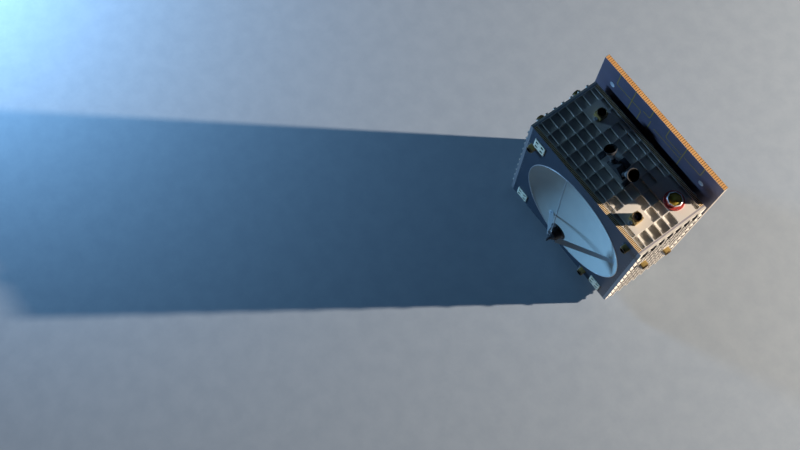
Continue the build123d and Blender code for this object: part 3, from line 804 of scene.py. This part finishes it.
# Electronics boxes beside the star trackers: milled black boxes, each with a
# screwed lid and a connector on the side towards the dish.
box_black = coat("box_black", (0.020, 0.024, 0.030), (0.032, 0.036, 0.044), 0.4, metal=0.2,
                 grain=600)
lid_thick = 0.003
lid_gap = 0.0006
lid_screw = screw_shape(0.0016, 0.001)
lid_screw_inset = 0.004
plug_half = Vector((0.009, 0.002, 0.004))
plug_level = 0.012
plug_screw = screw_shape(0.0016, 0.003)
plug_screw_x = 0.01035
for node in ("tracker_box_left", "tracker_box_right", "tracker_box_middle"):
    low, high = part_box(node)
    middle = (low + high) / 2
    bm = bmesh.new()
    case_high = Vector((high.x, high.y, high.z - lid_thick - lid_gap))
    put(bm, slab(low, case_high, 0.001), [Matrix()], 0)
    core_low = low + Vector((0.0012, 0.0012, 0.004))
    core_high = high - Vector((0.0012, 0.0012, 0.001))
    put(bm, slab(core_low, core_high), [Matrix()], 0)
    put(bm, slab(Vector((low.x, low.y, high.z - lid_thick)), high, 0.0008), [Matrix()], 0)
    for x in (low.x + lid_screw_inset, high.x - lid_screw_inset):
        for y in (low.y + lid_screw_inset, high.y - lid_screw_inset):
            put(bm, lid_screw, [at(x, y, high.z)], 1)
    plug = Vector((middle.x, low.y - plug_half.y, low.z + plug_level))
    put(bm, slab(plug - plug_half, plug + plug_half, 0.0012), [Matrix()], 1)
    for x in (plug.x - plug_screw_x, plug.x + plug_screw_x):
        put(bm, plug_screw, [at(x, low.y, plug.z) @ facing_front], 1)
    piece(node.replace("box", "unit"), bm, [box_black, steel], "black_box", node)

# Octagonal sensor: a low gilt pyramid of eight facets in a frame, which is red
# outside and has a bare silver lip. It stands on a red anodised base with eight
# screws.
red_anodised = coat("red_anodised", (0.60, 0.10, 0.075), (0.50, 0.075, 0.060), 0.36, metal=0.2,
                    grain=500)
lip_silver = coat("lip_silver", (0.84, 0.84, 0.85), (0.76, 0.76, 0.78), 0.34, metal=0.3, grain=500)
pyramid_gilt = coat("pyramid_gilt", (0.66, 0.46, 0.06), (0.50, 0.38, 0.06), 0.3, metal=0.6,
                    grain=400)
base_low, base_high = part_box("octagonal_base")
base_middle = (base_low + base_high) / 2
base_radius = (base_high.x - base_low.x) / 2
base_thick = base_high.z - base_low.z
base_ease = 0.0015
base_screw = screw_shape(0.0026, 0.0022)
base_screw_count = 8
across_flats = 0.092
frame_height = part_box("octagonal_frame")[1].z - base_high.z
frame_round = across_flats / 2 / cos(pi / 8)
frame_wall = 0.006
inside_round = frame_round - frame_wall / cos(pi / 8)
lip_foot = frame_height - 0.0045
octagon_stand = at(base_middle.x, base_middle.y, base_high.z)
profile = [(0, 0), (base_radius, 0), (base_radius, base_thick - base_ease),
           (base_radius - base_ease, base_thick), (0, base_thick)]
bm = bmesh.new()
put(bm, turned(profile, 96), [at(base_middle.x, base_middle.y, base_low.z)], 0)
for i in range(base_screw_count):
    turn = Matrix.Rotation(2 * pi * (i + 0.5) / base_screw_count, 4, "Z")
    put(bm, base_screw, [octagon_stand @ turn @ at(base_radius - 0.006, 0, 0)], 1)
piece("octagon_foot", bm, [red_anodised, steel], "red_ring", "octagonal_base")
bm = bmesh.new()
profile = [(inside_round, 0), (frame_round, 0), (frame_round, lip_foot), (inside_round, lip_foot)]
put(bm, turned(profile, 8, closed=True), [octagon_stand], 0)
profile = [(inside_round, lip_foot), (frame_round, lip_foot), (inside_round + 0.0015, frame_height),
           (inside_round + 0.0003, frame_height), (inside_round, frame_height - 0.0003)]
put(bm, turned(profile, 8, closed=True), [octagon_stand], 1)
piece("octagon_frame", bm, [red_anodised, lip_silver], "bare_metal", "octagonal_frame")
cover_round = inside_round - 0.0004
cover_edge = 0.0150
peak_round = 0.007 / cos(pi / 8)
peak_height = 0.0238
profile = [(0, 0), (cover_round, 0), (cover_round, cover_edge - 0.0005),
           (cover_round - 0.0008, cover_edge), (peak_round + 0.0008, peak_height - 0.0006),
           (peak_round, peak_height), (0, peak_height)]
bm = bmesh.new()
put(bm, turned(profile, 8), [octagon_stand], 0)
piece("octagon_cover", bm, [pyramid_gilt], "gold_coat", "octagonal_cover")

# Deck panel behind the bus, a thicker honeycomb sandwich that stands up over the
# top panel. Round spacers hold it off the bus, a pale strip closes each end, and
# gilt tape covers the wire runs on its front.
# Painted light: the deck's skin is paler and lilac, for light bounced onto it from the sunlit top
deck_skin = coat("deck_skin", (0.150, 0.135, 0.205), (0.130, 0.120, 0.180), 0.42, grain=250,
                 relief=0.1)
woven(deck_skin)
deck_finishes = [deck_skin, core_shade, core_gilt, skin_edge]
deck_rib_pitch = 0.0145
deck_rib_share = 0.78
sandwich("deck_honeycomb", "deck_panel", deck_rib_pitch, deck_rib_share, deck_finishes)
finish(coat("closeout_strip", (0.46, 0.42, 0.36), (0.40, 0.36, 0.31), 0.45), "deck_closeouts")
finish(ring_finish, "deck_spacers")
deck_low, deck_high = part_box("deck_panel")
tape = coat("gilt_tape", (0.52, 0.38, 0.09), (0.44, 0.32, 0.08), 0.4, metal=0.2)
tape_width = 0.0055
tape_height = 0.0006
tape_bend = 0.012
bus_left = -0.5
up = deck_high.z - bus_top - 0.0005
down = -0.02
# Corners of each tape: how far right of the bus's left end, and how far above its top
tapes = [
    [(0.114, up), (0.114, 0.097), (0.331, 0.097), (0.331, down)],
    [(0.255, up), (0.255, down)],
    [(0.402, up), (0.402, 0.122), (0.346, 0.122)],
    [(0.422, 0.107), (0.422, down)],
    [(0.549, up), (0.549, 0.117), (0.685, 0.117)],
    [(0.458, 0.072), (0.685, 0.072)],
    [(0.696, up), (0.696, down)],
    [(0.706, 0.115), (0.847, 0.115), (0.847, up)],
]
bm = bmesh.new()
for corners in tapes:
    part = bmesh.new()
    points = [part.verts.new((bus_left + x, deck_low.y, bus_top + z)) for x, z in corners]
    edges = [part.edges.new(pair) for pair in zip(points, points[1:])]
    if len(points) > 2:
        bmesh.ops.bevel(part, geom=points[1:-1], offset=tape_bend, segments=5, profile=0.5,
                        affect="VERTICES", material=-1)
    drawn = bmesh.ops.extrude_edge_only(part, edges=part.edges[:])
    moved = [item for item in drawn["geom"] if isinstance(item, bmesh.types.BMVert)]
    bmesh.ops.translate(part, vec=(0, -tape_height, 0), verts=moved)
    bmesh.ops.recalc_face_normals(part, faces=part.faces)
    bmesh.ops.solidify(part, geom=part.faces[:], thickness=tape_width)
    put(bm, shape(part), [Matrix()])
piece("deck_tapes", bm, [tape], "panel_face")

# Target discs on the deck's front, for aligning it: turned from aluminium with a
# raised edge, painted matt white and bonded to the skin.
# Painted shade: the discs' white is dimmed to a cool grey, for the shade on the deck's front
target_white = coat("target_white", (0.62, 0.66, 0.74), (0.55, 0.60, 0.68), 0.55)
targets_low, targets_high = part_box("deck_targets")
target_radius = 0.019
target_edge = 0.002
target_thick = targets_high.y - targets_low.y
target_floor = target_thick * 0.6
disc_mesh = turned([(0, 0), (target_radius, 0), (target_radius, target_thick),
                    (target_radius - target_edge, target_thick),
                    (target_radius - target_edge - 0.001, target_floor), (0, target_floor)], 48)
bm = bmesh.new()
for x, z in ((targets_low.x + target_radius, targets_low.z + target_radius),
             (targets_high.x - target_radius, targets_high.z - target_radius)):
    put(bm, disc_mesh, [at(x, targets_high.y, z) @ facing_front])
piece("target_discs", bm, [target_white], "target_white", "deck_targets")

# Solar strings on the deck's back: cropped cells under cover glass, two columns to
# a string, joined by silver tabs and bonded on an amber film.
cell_glass = coat("cell_glass", (0.008, 0.014, 0.050), (0.012, 0.010, 0.040), 0.16, clear=0.8,
                  relief=0.0)
film = coat("amber_film", (0.30, 0.17, 0.05), (0.24, 0.13, 0.04), 0.35, clear=0.2)
tab_silver = coat("tab_silver", (0.72, 0.72, 0.72), (0.64, 0.64, 0.64), 0.3, metal=0.9)
strings_low, strings_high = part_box("solar_strings")
string_count = 6
string_gap = 0.012
string_width = (strings_high.x - strings_low.x - (string_count - 1) * string_gap) / string_count
columns = 2
rows = 30
cell_gap = 0.0018
string_edge = 0.003
cell_width = (string_width - 2 * string_edge - (columns - 1) * cell_gap) / columns
cell_height = (strings_high.z - strings_low.z - 2 * string_edge - (rows - 1) * cell_gap) / rows
cell_thick = 0.0005
cell_corner = 0.006
film_thick = 0.0008
bar_shares = (-0.3, 0, 0.3)
half = Vector((cell_width, cell_thick, cell_height)) / 2
cell = block(-half, half)
upright = [edge for edge in cell.edges
           if abs(edge.verts[0].co.y - edge.verts[1].co.y) > cell_thick / 2]
eased(cell, upright, cell_corner, 1)
cell_mesh = shape(cell)
half = Vector((0.0005, 0.0001, cell_height / 2 - 0.001))
bar_mesh = slab(-half, half)
half = Vector((0.004, 0.0002, 0.0022))
tab_mesh = slab(-half, half)
film_back = strings_low.y
cell_y = film_back + film_thick + cell_thick / 2
row_pitch = cell_height + cell_gap
row_first = strings_low.z + string_edge + cell_height / 2
row_z = [row_first + row * row_pitch for row in range(rows)]
tab_z = [z + row_pitch / 2 for z in row_z[:-1]]
bm = bmesh.new()
for i in range(string_count):
    left = strings_low.x + i * (string_width + string_gap)
    film_low = Vector((left, film_back, strings_low.z))
    film_high = Vector((left + string_width, film_back + film_thick, strings_high.z))
    put(bm, slab(film_low, film_high), [Matrix()], 1)
    for column in range(columns):
        x = left + string_edge + cell_width / 2 + column * (cell_width + cell_gap)
        put(bm, cell_mesh, [at(x, cell_y, z) for z in row_z], 0)
        for share in bar_shares:
            bar_x = x + share * cell_width
            put(bm, bar_mesh, [at(bar_x, cell_y + cell_thick / 2, z) for z in row_z], 2)
            put(bm, tab_mesh, [at(bar_x, cell_y, z) for z in tab_z], 2)
piece("solar_cells", bm, [cell_glass, film, tab_silver], "solar_cell", "solar_strings")

# Floor of the studio, one plain sheet 28 m square in matt paint. The satellite
# stands on it, and it is the stage, not part of the object.
floor_half = 14
bm = bmesh.new()
bmesh.ops.create_grid(bm, x_segments=1, y_segments=1, size=floor_half)
floor_mesh = bpy.data.meshes.new("floor")
bm.to_mesh(floor_mesh)
bm.free()
floor_mesh.materials.append(coat("floor_paint", (0.27, 0.32, 0.38), (0.25, 0.30, 0.36), 0.8,
                                 grain=40, relief=0.02))
floor = bpy.data.objects.new("floor", floor_mesh)
bpy.context.scene.collection.objects.link(floor)


# Studio lights: a warm key from behind and to the right, low enough for the deck
# panel to shade most of the top, a cool fill from the front left that rakes the
# ribs, and a faint softbox overhead.
def area_light(name, place, aim, size, power, colour):
    lamp = bpy.data.lights.new(name, "AREA")
    lamp.shape = "DISK"
    lamp.size = size
    lamp.energy = power
    lamp.color = colour
    thing = bpy.data.objects.new(name, lamp)
    thing.location = place
    thing.rotation_euler = (Vector(aim) - Vector(place)).to_track_quat("-Z", "Y").to_euler()
    bpy.context.scene.collection.objects.link(thing)


aim = Vector((0, 0, (cad_box[0][2] + cad_box[1][2]) / 2))
key_place = aim + 14 * Vector((0.572, 0.767, 0.289))
fill_place = aim + 6 * Vector((-0.86, -0.50, 0.130))
softbox_place = aim + 6 * Vector((-0.15, 0.375, 0.90))
area_light("key", key_place, aim, size=0.3, power=6200, colour=(1.0, 0.86, 0.72))
area_light("fill", fill_place, aim, size=0.8, power=290, colour=(0.32, 0.63, 1.0))
area_light("softbox", softbox_place, aim, size=2.6, power=3, colour=(0.24, 0.52, 1.0))
world = bpy.data.worlds.new("studio")
world.use_nodes = True
world.node_tree.nodes["Background"].inputs["Color"].default_value = (0.30, 0.52, 1.0, 1)
world.node_tree.nodes["Background"].inputs["Strength"].default_value = 0.003
bpy.context.scene.world = world

# Camera, as the photograph was taken: from above the front right corner, rolled
# a little.
camera = bpy.data.cameras.new("camera")
camera.lens = 44.09
camera.sensor_width = 36
camera_place = Vector((0.9745, -2.3503, 6.3579))
camera_aim = Vector((-0.5203, -1.1918, 0.8))
camera_roll = radians(1.774)
bpy.context.scene.view_settings.view_transform = "Standard"
viewer = bpy.data.objects.new("camera", camera)
aimed = (camera_aim - camera_place).to_track_quat("-Z", "Y").to_matrix().to_4x4()
viewer.matrix_world = at(*camera_place) @ aimed @ Matrix.Rotation(camera_roll, 4, "Z")
bpy.context.scene.collection.objects.link(viewer)
bpy.context.scene.camera = viewer
